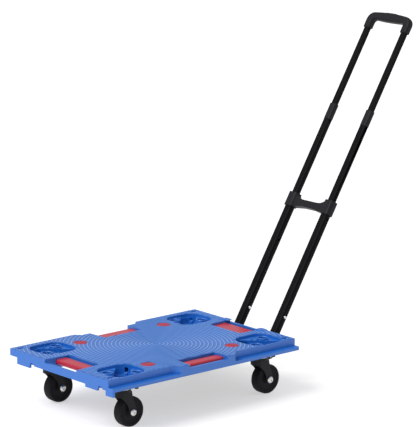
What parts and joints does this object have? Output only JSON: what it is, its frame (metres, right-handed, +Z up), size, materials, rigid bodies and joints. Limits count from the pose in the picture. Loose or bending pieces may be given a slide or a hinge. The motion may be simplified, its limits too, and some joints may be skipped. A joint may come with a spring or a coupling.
{
  "type": "platform trolley",
  "caption": "Moulded plastic platform trolley on swivel castors, with hand holes, coupling lip and flange, stacking recesses and a folding telescopic handle",
  "frame": {"origin": "centre of the deck's flat load face, 140 mm above the floor", "axes": "+Z up, out of the load face; +X along the deck towards the handle end; +Y across it towards the coupling lip"},
  "size_m": [1.1118, 0.4, 0.8927],
  "materials": {
    "deck_plastic": "blue moulded plastic, fine concentric anti-slip rings on the load face",
    "red_grip": "red moulded grip, satin",
    "red_pad": "red anti-slip rubber",
    "castor_steel": "black powder coat",
    "zinc": "zinc plated",
    "wheel_centre": "black moulded plastic",
    "tyre": "black solid rubber",
    "handle_plastic": "black moulded plastic, fine grain",
    "handle_tube": "black anodised, satin"
  },
  "bodies": {
    "platform": {"deck": "deck_plastic", "hand_grip_rear": "red_grip", "hand_grip_lip": "red_grip", "hand_grip_front": "red_grip", "hand_grip_flange": "red_grip", "anti_slip_pad_front_flange": "red_pad", "anti_slip_pad_front_lip": "red_pad", "anti_slip_pad_rear_flange": "red_pad", "anti_slip_pad_rear_lip": "red_pad", "castor_plate_front_flange": "castor_steel", "castor_plate_front_lip": "castor_steel", "castor_plate_rear_flange": "castor_steel", "castor_plate_rear_lip": "castor_steel", "castor_kingpin_front_flange": "zinc", "castor_kingpin_front_lip": "zinc", "castor_kingpin_rear_flange": "zinc", "castor_kingpin_rear_lip": "zinc", "handle_bracket": "castor_steel", "handle_pivot_bolt": "zinc", "handle_pivot_nut": "zinc"},
    "castor_swivel_front_flange": {"castor_fork_front_flange": "castor_steel", "castor_axle_front_flange": "zinc", "castor_nut_front_flange": "zinc"},
    "castor_wheel_front_flange": {"castor_hub_front_flange": "wheel_centre", "castor_tyre_front_flange": "tyre"},
    "castor_swivel_front_lip": {"castor_fork_front_lip": "castor_steel", "castor_axle_front_lip": "zinc", "castor_nut_front_lip": "zinc"},
    "castor_wheel_front_lip": {"castor_hub_front_lip": "wheel_centre", "castor_tyre_front_lip": "tyre"},
    "castor_swivel_rear_flange": {"castor_fork_rear_flange": "castor_steel", "castor_axle_rear_flange": "zinc", "castor_nut_rear_flange": "zinc"},
    "castor_wheel_rear_flange": {"castor_hub_rear_flange": "wheel_centre", "castor_tyre_rear_flange": "tyre"},
    "castor_swivel_rear_lip": {"castor_fork_rear_lip": "castor_steel", "castor_axle_rear_lip": "zinc", "castor_nut_rear_lip": "zinc"},
    "castor_wheel_rear_lip": {"castor_hub_rear_lip": "wheel_centre", "castor_tyre_rear_lip": "tyre"},
    "handle_lower": {"handle_knee_flange": "handle_plastic", "handle_outer_tube_flange": "handle_tube", "handle_rivet_flange": "zinc", "handle_knee_lip": "handle_plastic", "handle_outer_tube_lip": "handle_tube", "handle_rivet_lip": "zinc", "handle_yoke": "handle_plastic"},
    "handle_middle": {"handle_middle_tube_flange": "handle_tube", "handle_middle_guide_flange": "handle_plastic", "handle_collar_flange": "handle_plastic", "handle_middle_tube_lip": "handle_tube", "handle_middle_guide_lip": "handle_plastic", "handle_collar_lip": "handle_plastic"},
    "handle_upper": {"handle_inner_tube_flange": "handle_tube", "handle_inner_guide_flange": "handle_plastic", "handle_inner_tube_lip": "handle_tube", "handle_inner_guide_lip": "handle_plastic", "handle_grip": "handle_plastic"},
    "release_button": {"handle_release_button": "handle_plastic"}
  },
  "joints": [
    {"name": "swivel_front_flange", "type": "hinge", "parent": "platform", "child": "castor_swivel_front_flange", "pos_m": [-0.2215, -0.1365, -0.036], "axis": [0, 0, 1], "continuous": true},
    {"name": "wheel_front_flange", "type": "hinge", "parent": "castor_swivel_front_flange", "child": "castor_wheel_front_flange", "pos_m": [-0.2005, -0.1365, -0.1025], "axis": [0, 1, 0], "continuous": true},
    {"name": "swivel_front_lip", "type": "hinge", "parent": "platform", "child": "castor_swivel_front_lip", "pos_m": [-0.2215, 0.1365, -0.036], "axis": [0, 0, 1], "continuous": true},
    {"name": "wheel_front_lip", "type": "hinge", "parent": "castor_swivel_front_lip", "child": "castor_wheel_front_lip", "pos_m": [-0.2005, 0.1365, -0.1025], "axis": [0, 1, 0], "continuous": true},
    {"name": "swivel_rear_flange", "type": "hinge", "parent": "platform", "child": "castor_swivel_rear_flange", "pos_m": [0.2215, -0.1365, -0.036], "axis": [0, 0, 1], "continuous": true},
    {"name": "wheel_rear_flange", "type": "hinge", "parent": "castor_swivel_rear_flange", "child": "castor_wheel_rear_flange", "pos_m": [0.2425, -0.1365, -0.1025], "axis": [0, 1, 0], "continuous": true},
    {"name": "swivel_rear_lip", "type": "hinge", "parent": "platform", "child": "castor_swivel_rear_lip", "pos_m": [0.2215, 0.1365, -0.036], "axis": [0, 0, 1], "continuous": true},
    {"name": "wheel_rear_lip", "type": "hinge", "parent": "castor_swivel_rear_lip", "child": "castor_wheel_rear_lip", "pos_m": [0.2425, 0.1365, -0.1025], "axis": [0, 1, 0], "continuous": true},
    {"name": "handle_fold", "type": "hinge", "parent": "platform", "child": "handle_lower", "pos_m": [0.309, 0, -0.062], "axis": [0, 1, 0], "range_deg": [-20, 238.5]},
    {"name": "middle_slide", "type": "slide", "parent": "handle_lower", "child": "handle_middle", "axis": [0.5225, 0, 0.8526], "range_m": [-0.205, 0]},
    {"name": "inner_slide", "type": "slide", "parent": "handle_middle", "child": "handle_upper", "axis": [0.5225, 0, 0.8526], "range_m": [-0.22, 0]},
    {"name": "release_press", "type": "slide", "parent": "handle_upper", "child": "release_button", "axis": [-0.5225, 0, -0.8526], "range_m": [0, 0.003], "stiffness_N_per_m": 600, "springref_m": -0.001}
  ]
}
